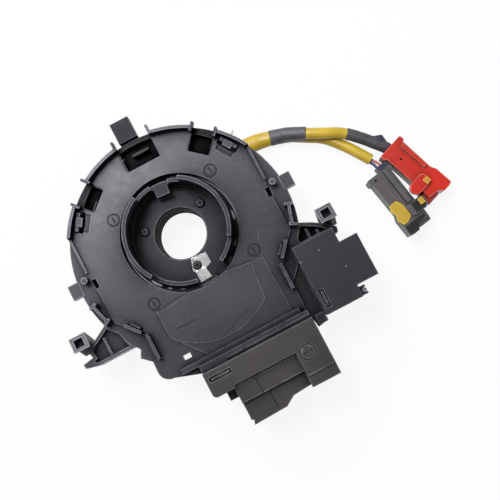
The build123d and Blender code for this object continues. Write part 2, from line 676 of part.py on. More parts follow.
# Back cover: dished plate, rim, neck that the rotor runs in, pockets and latch windows
chord_y = flange_shift + sqrt(flange_radius ** 2 - chord_half_width ** 2)
side_points = [
    (chord_half_width, chord_y), (chord_half_width, 3), (waist_half_width, -1), (waist_half_width, -23.8),
    polar(case_outer_radius + 2.4, -31.96), polar(case_outer_radius + 2.2, -42.5), (bay_half_width, -36.5),
]
pockets = ((90, 11.0, 8.4, 0.4), (49, 9.0, 5.1, 0), (131, 6.5, 5.6, 0))
pocket_wall = 1.6
with BuildPart() as back_cover:
    with BuildSketch(Plane.XY.offset(cover_low)):
        with BuildLine():
            ThreePointArc(side_points[0], (0, flange_shift + flange_radius), (-chord_half_width, chord_y))
            Polyline(*mirrored(side_points, -1), (-bay_half_width, -47.2), (-39, -48.3), (-39.2, -54))
            ThreePointArc((-39.2, -54), (-37.6, -57.9), (-33.5, -59.6))
            Polyline((-33.5, -59.6), (-20.5, connector_edge), (bay_half_width, connector_edge),
                     *side_points[::-1])
        make_face()
    extrude(amount=cover_thickness)
    with BuildSketch(Plane.XZ):
        section(opening_radius, opening_radius + neck_wall, lip_low, cover_low)
        section(lip_inner_radius, opening_radius + neck_wall, lip_low, lip_top)
    revolve(axis=Axis.Z)
    with BuildSketch(Plane.XY.offset(floor_top)):
        with Locations((0, flange_shift)):
            Circle(flange_radius)
            Circle(flange_radius - rim_wall, mode=Mode.SUBTRACT)
        with Locations((0, chord_y)):
            rim_align = (Align.CENTER, Align.MIN)
            Rectangle(2 * chord_half_width, flange_radius, align=rim_align, mode=Mode.INTERSECT)
    extrude(amount=rim_height)
    for side in (-1, 1):
        brick(sorted((side * (chord_half_width - 1.2), side * chord_half_width)), (3, chord_y),
              (floor_top, floor_top + 1.6))
        walls = [
            ((42.6, -27.0), (37.0, -33.8), 1.5, rim_top),
            ((35.1, -35.6), (35.1, -48.5), 1.5, rim_top),
            ((39.8, -27.8), (36.6, -31.7), 0.9, rim_top - 1.5),
        ]
        for start, end, thickness, top in walls:
            bar((side * start[0], start[1]), (side * end[0], end[1]), thickness, floor_top, top)
    brick((-29, 33), (-60.2, -57.6), (floor_top, floor_top + 2.4))
    brick((-20.5, bay_half_width), (connector_edge, -60.2), (floor_top, floor_top + 5))
    brick((-7, bay_half_width), (-62.8, -61.8), (floor_top + 4.5, floor_top + 5.6))
    slab(floor_top, floor_top + 0.5, [(-26.8, -28.8), (-21.4, -28.7), (6.6, -26.0), (29.6, -28.9),
                                      (29.9, -57.6), (-14, -57.6), (-26.8, -42.2)])
    with BuildSketch(Plane.XY.offset(floor_top)):
        with BuildLine():
            ThreePointArc((-26.8, -42.2), (-1, -54.1), (21.5, -46.2))
            Polyline((21.5, -46.2), (23.5, -28.2), (6.6, -26.0), (-21.4, -28.7), (-26.8, -28.8),
                     (-26.8, -42.2))
        make_face()
    extrude(amount=0.9)
    for angle, inner_depth, half_width, shift in pockets:
        inner = case_inner_radius - inner_depth
        side_shift = Location((shift, 0, 0))
        tray_half = half_width + pocket_wall
        tray_reach = sqrt((case_inner_radius - running_gap) ** 2 - (tray_half + abs(shift)) ** 2)
        with Locations(side_shift):
            radial_brick(angle, (inner - pocket_wall, tray_reach), tray_half, (pocket_low, cover_low))
            inner_radii = (inner, tray_reach + 0.1)
            radial_brick(angle, inner_radii, half_width, (pocket_top, floor_top + 1), Mode.SUBTRACT)
            outer_radii = (tray_reach, flange_radius + 5)
            radial_brick(angle, outer_radii, half_width, (pocket_low, rim_top + 1), Mode.SUBTRACT)
            for edge in (-1, 1):
                rib = Location((case_outer_radius + 0.6, edge * (half_width + 0.65), floor_top + 2.7))
                with Locations(Location((0, 0, 0), (0, 0, angle)) * rib):
                    Box(4.6, 1.3, 5.4)
    brick((-3, 5.5), (case_inner_radius - 5.5, case_inner_radius - 4.2), (pocket_top, floor_top - 0.4))
    for angle in window_angles:
        through_radii = (case_inner_radius - 2.1, case_outer_radius + 0.2)
        radial_brick(angle, through_radii, 5.2, (cover_low - 1, floor_top + 1), Mode.SUBTRACT)
        dish_radii = (case_inner_radius - 4.7, case_inner_radius - 1.5)
        radial_brick(angle, dish_radii, 4.4, (floor_top - 1, floor_top + 1), Mode.SUBTRACT)
    for side in (-1, 1):
        notch_x = sorted((side * (waist_half_width - 1.6), side * (waist_half_width + 2.2)))
        brick(notch_x, (-5.4, -0.8), (cover_low - 1, floor_top + 1), Mode.SUBTRACT)
    brick((-25.4, -21.6), (-54.6, -52.4), (cover_low - 1, floor_top + 1), Mode.SUBTRACT)
    with Locations((0, 0, cover_low - 1)):
        Cylinder(opening_radius, rim_height + 4, align=(Align.CENTER, Align.CENTER, Align.MIN),
                 mode=Mode.SUBTRACT)
keep(back_cover, "back_cover")

# Low friction rings: the washer on the neck's lip and the sheet under the flat cable
with BuildPart() as thrust_washer:
    with BuildSketch(Plane.XY.offset(lip_top)):
        Circle(opening_radius - 0.1)
        Circle(lip_inner_radius + 0.1, mode=Mode.SUBTRACT)
    extrude(amount=washer_thickness)
keep(thrust_washer, "thrust_washer")

with BuildPart() as slide_sheet:
    with BuildSketch(Plane.XY.offset(chamber_low)):
        Circle(case_inner_radius - running_gap)
        Circle(outer_drum_radius + 1.0, mode=Mode.SUBTRACT)
    extrude(amount=sheet_thickness)
keep(slide_sheet, "slide_sheet")

# Flat cable: a spiral of half turns about two centres, wound from the rotor's drum to the case
cable_low = chamber_low + sheet_thickness + 0.4
cable_width = pocket_low - cable_low - cable_play
cable_start = outer_drum_radius + 0.5
cable_end = case_inner_radius - running_gap - cable_thickness
half_turns = 2 * cable_turns
centre_step = (cable_end - cable_start) / half_turns


def spiral(first_radius):
    """The corner points of a spiral's half turns, with each one's middle point."""
    arcs = []
    for number in range(half_turns):
        centre = 0 if number % 2 == 0 else centre_step
        radius = first_radius + number * centre_step
        sign = 1 if number % 2 == 0 else -1
        arcs.append(((centre + sign * radius, 0), (centre, sign * radius), (centre - sign * radius, 0)))
    return arcs


with BuildPart() as flat_cable:
    with BuildSketch(Plane(origin=(0, 0, cable_low), x_dir=(*ahead((0, 0), lead_slot_angle, 1), 0))):
        with BuildLine():
            inner_arcs = spiral(cable_start)
            outer_arcs = spiral(cable_start + cable_thickness)
            for arc_points in inner_arcs + outer_arcs:
                ThreePointArc(*arc_points)
            Line(inner_arcs[0][0], outer_arcs[0][0])
            Line(inner_arcs[-1][2], outer_arcs[-1][2])
        make_face()
    extrude(amount=cable_width)
keep(flat_cable, "flat_cable")

# Outer lead block in the bay, where the flat cable's outer end meets the connectors' busbars
with BuildPart() as outer_lead_block:
    block_y = (connector_edge + bay_wall + 0.2, -case_outer_radius - 2.5)
    brick((2, 30.4), block_y, (bay_low + bay_wall, cover_low - 1.5))
    radial_brick(lead_slot_angle, (case_inner_radius - 0.1, 59), 1.2, (bay_low + bay_wall, cover_low - 3))
    brick((-4, 16), (connector_edge, connector_edge + 3), (bay_low + 4, cover_low - 4.5))
keep(outer_lead_block, "outer_lead_block")

# Main connector block: open housing, two sockets towards -Y, pins and cover
block_seat = block_top - block_cover
corner_radius = 2.2
main_points = [(-20.5, connector_edge), (36.2, connector_edge), (36.2, -92.7), (21.7, -92.7), (21.7, -76.5),
               (-20.5, -76.5)]
shroud_points = [(-10.4, -84.5), (21.7, -84.5), (21.7, -91.6), (12.2, -92.3), (7.2, -95.4), (-10.0, -96.0),
                 (-9.3, -93.5), (-10.4, -93.5)]
with BuildPart() as main_housing:
    slab(block_low, block_seat, main_points)
    fillet(main_housing.edges().filter_by(Axis.Z).sort_by(Axis.X)[:2].sort_by(Axis.Y)[0], corner_radius)
    slab(block_low, block_top - 5, shroud_points)
    brick((-10.4, 21.7), (-84.5, -76.5), (block_low, block_top - 2.4))
    brick((-15, -10.4), (-81.3, -76.5), (block_low + 4, block_top - 8))
    inner_y = (-76.5 + block_wall, connector_edge - block_wall)
    inner_x = (-20.5 + block_wall, 36.2 - block_wall)
    brick(inner_x, inner_y, (block_low + block_wall, block_seat), Mode.SUBTRACT)
    brick((-8.4, 19.6), (-97, -81.5), (block_low + 2, block_top - 7), Mode.SUBTRACT)
    brick((23.7, 34.4), (-94, -83), (block_low + 2.5, block_seat - 3), Mode.SUBTRACT)
    brick((-18.0, -8.6), (-68.7, -67.6), (block_low + 1, block_top - 0.4))
keep(main_housing, "main_housing")

with BuildPart() as main_terminals:
    for height in (block_low + 5.6, block_low + 10.6):
        for number in range(8):
            pin_x = 5.6 + (number - 3.5) * 3.0
            brick((pin_x - 0.4, pin_x + 0.4), (-88, -81.5), (height - 0.4, height + 0.4))
keep(main_terminals, "main_terminals")

with BuildPart() as main_cover:
    slab(block_seat, block_top, [
        (-20.7, connector_edge), (36.4, connector_edge), (36.4, -92.9), (21.9, -92.9),
        (21.9, -75.4), (-9.6, -75.4), (-9.6, -76.7), (-20.7, -76.7),
    ])
    fillet(main_cover.edges().filter_by(Axis.Z).sort_by(Axis.X)[:2].sort_by(Axis.Y)[0], corner_radius)
    fillet(main_cover.edges().group_by(Axis.Z)[-1], 0.4)
    brick((-18.8, -7.8), (-69.3, -67.0), (block_seat - 1, block_top + 1), Mode.SUBTRACT)
    brick((21, 37), (-93.5, -87.2), (block_top - 0.7, block_top + 1), Mode.SUBTRACT)
    with BuildSketch(Plane.XY.offset(block_top - 0.4)) as ring_groove:
        with Locations((27.3, -77.3)):
            Circle(3.8)
            Circle(3.3, mode=Mode.SUBTRACT)
            Rectangle(3.0, 0.5)
    extrude(ring_groove.sketch, amount=1, mode=Mode.SUBTRACT)
keep(main_cover, "main_cover")

# Side connector block: open housing, a socket towards +X, pins and cover
side_block_points = [(0, 0), (20.6, 0), (20.6, -7.6), (29.6, -7.6), (29.6, -28.6), (18.6, -28.6),
                     (18.6, -34.5), (0, -34.5)]
side_cover_points = [(-0.2, 0.2), (20.8, 0.2), (20.8, -7.4), (29.8, -7.4), (29.8, -28.8), (18.8, -28.8),
                     (18.8, -34.7), (-0.2, -34.7)]


def from_edge(x_span, y_span):
    """Limits on the table's plane from distances to the side block's inner corner."""
    across = [block_edge_x + x for x in x_span]
    along = [block_edge_y + y for y in y_span]
    return across, along


with BuildPart() as side_housing:
    slab(block_low, block_seat, [(block_edge_x + x, block_edge_y + y) for x, y in side_block_points])
    inner = from_edge((block_wall, 18.6 - block_wall), (block_wall - 34.5, -block_wall))
    brick(*inner, (block_low + block_wall, block_seat), Mode.SUBTRACT)
    brick(*from_edge((19.5, 30.5), (-26.7, -9.5)), (block_low + 2.5, block_seat - 3), Mode.SUBTRACT)
    brick(*from_edge((18.6, 22), (-34.5, -30.1)), (block_low + 6, block_top - 3))
    brick(*from_edge((20, 22.6), (-33.5, -31.1)), (block_low + 7, block_top - 2), Mode.SUBTRACT)
    brick(*from_edge((2.1, 3.3), (-31.1, -23.5)), (block_low + 1, block_top - 0.4))
keep(side_housing, "side_housing")

with BuildPart() as side_terminals:
    for height in (block_low + 6.5, block_low + 11.5):
        for number in range(5):
            pin_y = -18.1 + (number - 2) * 3.0
            brick(*from_edge((19.5, 24.5), (pin_y - 0.4, pin_y + 0.4)), (height - 0.4, height + 0.4))
keep(side_terminals, "side_terminals")

with BuildPart() as side_cover:
    slab(block_seat, block_top, [(block_edge_x + x, block_edge_y + y) for x, y in side_cover_points])
    fillet(side_cover.edges().group_by(Axis.Z)[-1], 0.4)
    brick(*from_edge((1.6, 3.8), (-31.6, -23.0)), (block_seat - 1, block_top + 1), Mode.SUBTRACT)
keep(side_cover, "side_cover")
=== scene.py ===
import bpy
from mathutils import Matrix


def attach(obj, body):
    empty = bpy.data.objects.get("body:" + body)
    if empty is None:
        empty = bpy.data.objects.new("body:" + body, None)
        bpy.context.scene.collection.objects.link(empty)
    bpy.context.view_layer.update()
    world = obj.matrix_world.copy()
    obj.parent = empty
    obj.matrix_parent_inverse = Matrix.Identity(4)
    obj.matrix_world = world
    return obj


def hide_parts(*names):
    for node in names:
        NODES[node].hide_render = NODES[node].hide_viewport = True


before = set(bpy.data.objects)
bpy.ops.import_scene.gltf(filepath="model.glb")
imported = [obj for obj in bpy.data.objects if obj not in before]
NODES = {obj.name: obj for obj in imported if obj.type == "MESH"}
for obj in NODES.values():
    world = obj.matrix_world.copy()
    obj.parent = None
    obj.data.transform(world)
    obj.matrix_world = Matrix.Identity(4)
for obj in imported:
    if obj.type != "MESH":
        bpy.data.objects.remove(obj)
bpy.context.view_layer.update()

from math import cos, pi, radians, sin

import bmesh
import bpy
from mathutils import Matrix, Vector

MM = 0.001
bpy.context.scene.view_settings.view_transform = "Standard"


def new_object(name, data):
    """An object of this data, linked in the scene."""
    item = bpy.data.objects.new(name, data)
    bpy.context.scene.collection.objects.link(item)
    return item


def millimetres(*values):
    return Vector(values) * MM


# NODE GRAPH HELPERS

def new_material(name):
    """A material with its node tree and its Principled shader."""
    material = bpy.data.materials.new(name)
    material.use_nodes = True
    return material, material.node_tree, material.node_tree.nodes["Principled BSDF"]


def add(tree, kind, **values):
    """A node with its plain properties set; keys that start with in_ set input sockets."""
    node = tree.nodes.new(kind)
    for key, value in values.items():
        if key.startswith("in_"):
            node.inputs[key[3:].replace("_", " ")].default_value = value
        else:
            setattr(node, key, value)
    return node


def link(tree, source, target):
    tree.links.new(source, target)


def object_place(tree):
    return add(tree, "ShaderNodeTexCoord").outputs["Object"]


def stretched(tree, place, scale, rotation=(0, 0, 0)):
    """The same place at another scale along each axis, which draws a noise out into lines."""
    node = add(tree, "ShaderNodeMapping", in_Rotation=rotation, in_Scale=scale)
    link(tree, place, node.inputs["Vector"])
    return node.outputs["Vector"]


def noise(tree, place, kind):
    """A noise's values; kind is its scale per metre, its detail and its roughness."""
    scale, detail, roughness = kind
    node = add(tree, "ShaderNodeTexNoise", in_Scale=scale, in_Detail=detail, in_Roughness=roughness)
    link(tree, place, node.inputs["Vector"])
    return node.outputs["Fac"]


def remap(tree, value, limits, results=(0, 1)):
    """The value's place between two limits, as the same place between two results."""
    node = add(tree, "ShaderNodeMapRange")
    link(tree, value, node.inputs["Value"])
    for key, number in zip(("From Min", "From Max", "To Min", "To Max"), (*limits, *results)):
        node.inputs[key].default_value = number
    return node.outputs["Result"]


def maths(tree, operation, first, second=0):
    """A sum, product or the like; each side is a number or an output."""
    node = add(tree, "ShaderNodeMath", operation=operation)
    for socket, value in zip(node.inputs, (first, second)):
        if isinstance(value, (int, float)):
            socket.default_value = value
        else:
            link(tree, value, socket)
    return node.outputs["Value"]


def dot_product(tree, first, second):
    """The dot product of an output with another one, or with a fixed direction."""
    node = add(tree, "ShaderNodeVectorMath", operation="DOT_PRODUCT")
    link(tree, first, node.inputs[0])
    if isinstance(second, tuple):
        node.inputs[1].default_value = second
    else:
        link(tree, second, node.inputs[1])
    return node.outputs["Value"]


def blend_colours(tree, factor, first, second):
    """A colour mix by an output; each side is a colour or another mix's output."""
    node = add(tree, "ShaderNodeMix", data_type="RGBA")
    link(tree, factor, node.inputs["Factor"])
    sockets = [socket for socket in node.inputs if socket.type == "RGBA"]
    for socket, value in zip(sockets, (first, second)):
        if isinstance(value, tuple):
            socket.default_value = (*value, 1)
        else:
            link(tree, value, socket)
    return [socket for socket in node.outputs if socket.type == "RGBA"][0]


def bump(tree, shader, height, relief):
    """Fine relief from a height output; relief is its strength and its depth in metres."""
    strength, depth = relief
    node = add(tree, "ShaderNodeBump", in_Strength=strength, in_Distance=depth)
    link(tree, height, node.inputs["Height"])
    link(tree, node.outputs["Normal"], shader.inputs["Normal"])


def toned(colour, factor, extra=0.0):
    """A lighter or darker tone of a colour."""
    return tuple(min(1.0, channel * factor + extra) for channel in colour)


# MATERIALS

# The noises, each with its scale per metre, its detail and its roughness
CLOUDS = (38.0, 4.0, 0.6)
STREAKS = (210.0, 5.0, 0.7)
GLOSS_SWIRLS = (30.0, 3.0, 0.6)
MOULD_GRAIN = (2600.0, 2.0, 0.5)
SCRATCHES = (70.0, 3.0, 0.6)
SCRATCHED_AREAS = (24.0, 2.0, 0.5)
DRAW_LINES = (900.0, 3.0, 0.6)
TARNISH = (160.0, 3.0, 0.5)
SLEEVE_PATCHES = (90.0, 4.0, 0.6)
SLEEVE_DIRT = (420.0, 4.0, 0.65)
SLEEVE_GRAIN = (700.0, 3.0, 0.6)
TAPE_PATCHES = (120.0, 3.0, 0.6)
FILM_PATCHES = (70.0, 3.0, 0.5)

# Values of an output at which its effect starts and is full
NOISE_MIDDLE = (0.35, 0.65)
NOISE_SPAN = (0.3, 0.7)
SWIRL_SPAN = (0.38, 0.62)
TARNISH_SPAN = (0.35, 0.68)
DIRT_PEAKS = (0.60, 0.75)
SCRATCH_PEAKS = (0.64, 0.72)
SCRATCHED_SPAN = (0.5, 0.62)
HIGHLIGHT_BREAKS = (0.35, 0.6)
EDGE_COSINES = (0.998, 0.95)
WALL_TO_LEVEL = (0.25, 0.85)
CORNER_TO_OPEN = (0.42, 0.97)

# Strength and depth of each fine relief, and other sizes in metres
MOULD_RELIEF = (0.55, 0.00006)
DRAWN_RELIEF = (0.3, 0.00003)
SLEEVE_RELIEF = (0.4, 0.00008)
WEAVE_RELIEF = (0.35, 0.00005)
EDGE_RADIUS = 0.0009
SPOT_SHADE_START_FADE = 0.0015
SPOT_SHADE_SIDE_FADE = 0.001

SPOT_SHADE_SHARE = 0.7
WEAVE_SCALE = 900.0
SCRATCH_STRETCH = (12, 1, 1)
SCRATCH_TURN = (0, 0, 0.6)


def painted_spot_shade(tree, place, spots):
    """Painted shade at spots: 1 outside the spots and 0.3 within; a spot is an angle, a first radius and a
    half width.
    """
    result = 1.0
    for angle, first, half_width in spots:
        turn = radians(angle)
        ahead = dot_product(tree, place, (cos(turn), sin(turn), 0))
        aside = dot_product(tree, place, (-sin(turn), cos(turn), 0))
        along = remap(tree, ahead, (first, first + SPOT_SHADE_START_FADE))
        off_line = maths(tree, "ABSOLUTE", aside)
        across = remap(tree, off_line, (half_width, half_width + SPOT_SHADE_SIDE_FADE), (SPOT_SHADE_SHARE, 0))
        within = maths(tree, "MULTIPLY", along, across)
        result = maths(tree, "MULTIPLY", result, maths(tree, "SUBTRACT", 1.0, within))
    return result


def painted_wall_shade(tree, base, colour, wall_shade):
    """Painted shade on upright faces: the base colour on level faces, and a darker share of the plain colour
    on upright ones.
    """
    upright = add(tree, "ShaderNodeSeparateXYZ")
    link(tree, add(tree, "ShaderNodeTexCoord").outputs["Normal"], upright.inputs["Vector"])
    level = remap(tree, maths(tree, "ABSOLUTE", upright.outputs["Z"]), WALL_TO_LEVEL)
    return blend_colours(tree, level, toned(colour, wall_shade), base)


def scuffed(tree, place, base, colour, strength):
    """Pale scratches in one direction, in some areas only."""
    lines = noise(tree, stretched(tree, place, SCRATCH_STRETCH, SCRATCH_TURN), SCRATCHES)
    scratches = remap(tree, lines, SCRATCH_PEAKS, (0, strength))
    areas = remap(tree, noise(tree, place, SCRATCHED_AREAS), SCRATCHED_SPAN)
    return blend_colours(tree, maths(tree, "MULTIPLY", scratches, areas), base, toned(colour, 3, 0.02))


def painted_edge_highlight(tree, base, streaks, edge_highlight):
    """Painted highlight: the pale edge colour where a rounded normal turns away from the face's own, broken
    up by streaks.
    """
    geometry = add(tree, "ShaderNodeNewGeometry")
    rounded = add(tree, "ShaderNodeBevel", samples=8, in_Radius=EDGE_RADIUS)
    agreement = dot_product(tree, rounded.outputs["Normal"], geometry.outputs["True Normal"])
    highlight_share = maths(tree, "MULTIPLY", remap(tree, agreement, EDGE_COSINES),
                remap(tree, streaks, HIGHLIGHT_BREAKS, (0.25, 1.0)))
    return blend_colours(tree, highlight_share, base, edge_highlight)


def moulded(name, colour, roughness=0.42, edge_highlight=None, cloud=0.16, specular=0.5, wall_shade=1.0, corner_shade=1.0,
            scuffs=0.0, patchy=0.0, spot_shade=(), reach=0.012):
    """Moulded plastic: flow clouds, fine grain and a painted highlight on the edges. Below 1, the wall share
    paints shade on upright faces and the corner share paints shade into corners, on the colour and the
    specular level; with such a corner share the given spots get more painted shade still; scuffs are pale
    scratches, and patchy is uneven gloss."""
    material, tree, shader = new_material(name)
    place = object_place(tree)
    streaks = noise(tree, place, STREAKS)
    base = blend_colours(tree, remap(tree, noise(tree, place, CLOUDS), NOISE_MIDDLE),
                         toned(colour, 1 - cloud), toned(colour, 1 + cloud))
    # Painted shade: upright faces darker than level ones
    if wall_shade < 1:
        base = painted_wall_shade(tree, base, colour, wall_shade)
    if scuffs:
        base = scuffed(tree, place, base, colour, scuffs)
    # Painted highlight along the edges
    base = painted_edge_highlight(tree, base, streaks, edge_highlight or toned(colour, 1.6, 0.01))
    shader.inputs["Specular IOR Level"].default_value = specular
    # Painted shade in corners and at the given spots, on the colour and on the specular level
    if corner_shade < 1:
        corner_occlusion = add(tree, "ShaderNodeAmbientOcclusion", samples=6, in_Distance=reach)
        painted_light_share = remap(tree, corner_occlusion.outputs["AO"], CORNER_TO_OPEN, (corner_shade, 1.0))
        if spot_shade:
            painted_light_share = maths(tree, "MULTIPLY", painted_light_share, painted_spot_shade(tree, place, spot_shade))
        base = blend_colours(tree, painted_light_share, (0, 0, 0), base)
        link(tree, maths(tree, "MULTIPLY", painted_light_share, specular), shader.inputs["Specular IOR Level"])
    link(tree, base, shader.inputs["Base Color"])
    rough = remap(tree, streaks, NOISE_SPAN, (roughness - 0.04, roughness + 0.05))
    if patchy:
        swirls = noise(tree, place, GLOSS_SWIRLS)
        rough = maths(tree, "ADD", rough, remap(tree, swirls, SWIRL_SPAN, (-patchy, patchy)))
    link(tree, rough, shader.inputs["Roughness"])
    bump(tree, shader, noise(tree, place, MOULD_GRAIN), MOULD_RELIEF)
    return material


def plated(name, colour, roughness, brushed=(1, 1, 1)):
    """Plated sheet or wire metal with fine draw lines and dulled patches."""
    material, tree, shader = new_material(name)
    place = object_place(tree)
    lines = noise(tree, stretched(tree, place, brushed), DRAW_LINES)
    patches = remap(tree, noise(tree, place, TARNISH), TARNISH_SPAN)
    link(tree, blend_colours(tree, patches, colour, toned(colour, 0.72)), shader.inputs["Base Color"])
    shader.inputs["Metallic"].default_value = 1.0
    rough = remap(tree, lines, NOISE_SPAN, (roughness - 0.07, roughness + 0.1))
    link(tree, rough, shader.inputs["Roughness"])
    bump(tree, shader, lines, DRAWN_RELIEF)
    return material


def sleeving(name, colour):
    """Soft vinyl sleeving or insulation: slightly uneven colour, a little dirt, wax-like gloss."""
    material, tree, shader = new_material(name)
    place = object_place(tree)
    patches = noise(tree, place, SLEEVE_PATCHES)
    base = blend_colours(tree, remap(tree, patches, NOISE_MIDDLE), toned(colour, 0.86),
                         toned(colour, 1.10, 0.01))
    dirt = remap(tree, noise(tree, place, SLEEVE_DIRT), DIRT_PEAKS, (0, 0.35))
    link(tree, blend_colours(tree, dirt, base, toned(colour, 0.62)), shader.inputs["Base Color"])
    link(tree, remap(tree, patches, NOISE_SPAN, (0.31, 0.45)), shader.inputs["Roughness"])
    shader.inputs["Subsurface Weight"].default_value = 0.08
    shader.inputs["Subsurface Radius"].default_value = (0.0012, 0.0008, 0.0003)
    bump(tree, shader, noise(tree, place, SLEEVE_GRAIN), SLEEVE_RELIEF)
    return material


def cloth_tape(name, colour):
    """Adhesive tape: a fine woven grain under a dull coat."""
    material, tree, shader = new_material(name)
    place = object_place(tree)
    patches = noise(tree, place, TAPE_PATCHES)
    threads = []
    for axis in "XY":
        wave = add(tree, "ShaderNodeTexWave", wave_type="BANDS", bands_direction=axis,
                   in_Scale=WEAVE_SCALE, in_Distortion=1.2, in_Detail=1.0)
        link(tree, place, wave.inputs["Vector"])
        threads.append(wave.outputs["Fac"])
    base = blend_colours(tree, remap(tree, patches, NOISE_MIDDLE), toned(colour, 0.82), toned(colour, 1.22))
    link(tree, base, shader.inputs["Base Color"])
    link(tree, remap(tree, patches, NOISE_SPAN, (0.42, 0.58)), shader.inputs["Roughness"])
    bump(tree, shader, maths(tree, "MULTIPLY", *threads), WEAVE_RELIEF)
    return material


def film(name, colour, roughness):
    """Thin low friction sheet or laminated cable, which light enters a little."""
    material, tree, shader = new_material(name)
    patches = noise(tree, object_place(tree), FILM_PATCHES)
    base = blend_colours(tree, remap(tree, patches, NOISE_MIDDLE), colour, toned(colour, 0.88))
    link(tree, base, shader.inputs["Base Color"])
    rough = remap(tree, patches, NOISE_SPAN, (roughness - 0.05, roughness + 0.08))
    link(tree, rough, shader.inputs["Roughness"])
    shader.inputs["Subsurface Weight"].default_value = 0.25
    shader.inputs["Subsurface Radius"].default_value = (0.001, 0.001, 0.0009)
    return material


# Spots of painted shade at the cover's three pockets: degrees, then a first radius and a half width in metres
shaded_pocket_spots = [(90, 0.0362, 0.0086), (49, 0.0382, 0.0053), (131, 0.0407, 0.0058)]

# Each edge colour below is a painted highlight; the wall and corner shares and the pocket spots paint shade
case_plastic = moulded("case_plastic", (0.012, 0.0115, 0.0165), 0.30, edge_highlight=(0.115, 0.11, 0.13), cloud=0.30,
                       specular=0.35, wall_shade=0.40, corner_shade=0.03, patchy=0.03, spot_shade=shaded_pocket_spots, reach=0.018)
housing_plastic = moulded("housing_plastic", (0.017, 0.0165, 0.022), 0.38, edge_highlight=(0.26, 0.25, 0.28),
                          cloud=0.20, specular=0.36, wall_shade=0.45, corner_shade=0.22, spot_shade=shaded_pocket_spots)
collar_plastic = moulded("collar_plastic", (0.011, 0.0105, 0.016), 0.40, edge_highlight=(0.27, 0.26, 0.28), cloud=0.14,
                         specular=0.19, wall_shade=0.45, corner_shade=0.30)
rotor_plastic = moulded("rotor_plastic", (0.009, 0.009, 0.013), 0.52, edge_highlight=(0.05, 0.05, 0.06), cloud=0.10,
                        specular=0.15, wall_shade=0.3, corner_shade=0.05, reach=0.035)
side_plastic = moulded("side_plastic", (0.010, 0.0095, 0.0140), 0.38, edge_highlight=(0.17, 0.165, 0.185),
                       specular=0.25, wall_shade=0.6, corner_shade=0.2, scuffs=0.12)
connector_plastic = moulded("connector_plastic", (0.0205, 0.0168, 0.0160), 0.36, edge_highlight=(0.15, 0.145, 0.145),
                            cloud=0.35, specular=0.36, wall_shade=0.5, corner_shade=0.15, scuffs=0.2, patchy=0.04)
white_plastic = moulded("white_plastic", (0.80, 0.78, 0.72), 0.38, cloud=0.04)
red_plastic = moulded("red_plastic", (0.50, 0.020, 0.008), 0.34, edge_highlight=(0.66, 0.15, 0.10), cloud=0.28,
                      specular=0.28, wall_shade=0.75, corner_shade=0.30, patchy=0.08)
plug_plastic = moulded("plug_plastic", (0.056, 0.049, 0.048), 0.40, edge_highlight=(0.10, 0.095, 0.10), cloud=0.22,
                       wall_shade=0.4, corner_shade=0.15)
lever_plastic = moulded("lever_plastic", (0.006, 0.007, 0.006), 0.40, edge_highlight=(0.05, 0.055, 0.045), specular=0.2)
yellow_plastic = moulded("yellow_plastic", (0.46, 0.305, 0.015), 0.34, cloud=0.14, patchy=0.05)
amber_plastic = moulded("amber_plastic", (0.52, 0.21, 0.025), 0.34, cloud=0.10)
strip_metal = plated("strip_metal", (0.36, 0.35, 0.34), 0.15, brushed=(1, 6, 6))
screw_black = moulded("screw_black", (0.005, 0.005, 0.008), 0.32, edge_highlight=(0.04, 0.04, 0.05), specular=0.25,
                      corner_shade=0.2)
pin_metal = plated("pin_metal", (0.82, 0.72, 0.46), 0.26)
yellow_sleeve = sleeving("yellow_sleeve", (0.54, 0.375, 0.020))
pink_wire = sleeving("pink_wire", (0.56, 0.20, 0.17))
blue_wire = sleeving("blue_wire", (0.035, 0.035, 0.14))
grey_tape = cloth_tape("grey_tape", (0.068, 0.065, 0.070))
dark_tape = cloth_tape("dark_tape", (0.040, 0.038, 0.041))
scratch_and_shade_black = moulded("scratch_and_shade_black", (0.004, 0.004, 0.006), 0.45, edge_highlight=(0.012, 0.012, 0.016), specular=0.15)
pale_plastic = moulded("pale_plastic", (0.11, 0.105, 0.115), 0.42)
scuff_plastic = moulded("scuff_plastic", (0.045, 0.044, 0.055), 0.40)
navy_plastic = moulded("navy_plastic", (0.012, 0.012, 0.034), 0.40, specular=0.35)
seam_and_shade_black = moulded("seam_and_shade_black", (0.002, 0.002, 0.003), 0.6, edge_highlight=(0.004, 0.004, 0.005),
                         specular=0.10)
flag_tape = cloth_tape("flag_tape", (0.014, 0.015, 0.045))
milky_sheet = film("milky_sheet", (0.62, 0.62, 0.62), 0.42)
cable_film = film("cable_film", (0.62, 0.52, 0.34), 0.30)

node_materials = {
    "outer_case": housing_plastic, "back_cover": case_plastic, "outer_lead_block": housing_plastic,
    "thrust_washer": milky_sheet, "slide_sheet": milky_sheet, "flat_cable": cable_film,
    "main_housing": connector_plastic, "main_cover": connector_plastic, "main_terminals": pin_metal,
    "side_housing": side_plastic, "side_cover": side_plastic, "side_terminals": pin_metal,
    "rotor": rotor_plastic, "collar": collar_plastic, "contact_strip": strip_metal,
    "screw_1": screw_black, "screw_2": screw_black, "screw_3": screw_black,
    "inner_lead_block": rotor_plastic, "front_socket": rotor_plastic, "front_terminals": pin_metal,
    "white_socket": white_plastic, "lead_clamp": rotor_plastic,
    "trunk_sleeve": yellow_sleeve, "trunk_wrap": grey_tape, "red_lead_sleeve": yellow_sleeve,
    "red_lead_tape": grey_tape, "grey_lead_sleeve": yellow_sleeve, "grey_wire_1": pink_wire,
    "grey_wire_2": blue_wire, "red_plug": red_plastic, "red_plug_lock": yellow_plastic,
    "red_plug_clip": amber_plastic, "grey_plug": plug_plastic, "grey_plug_clip": yellow_plastic,
    "grey_plug_lock": yellow_plastic,
}

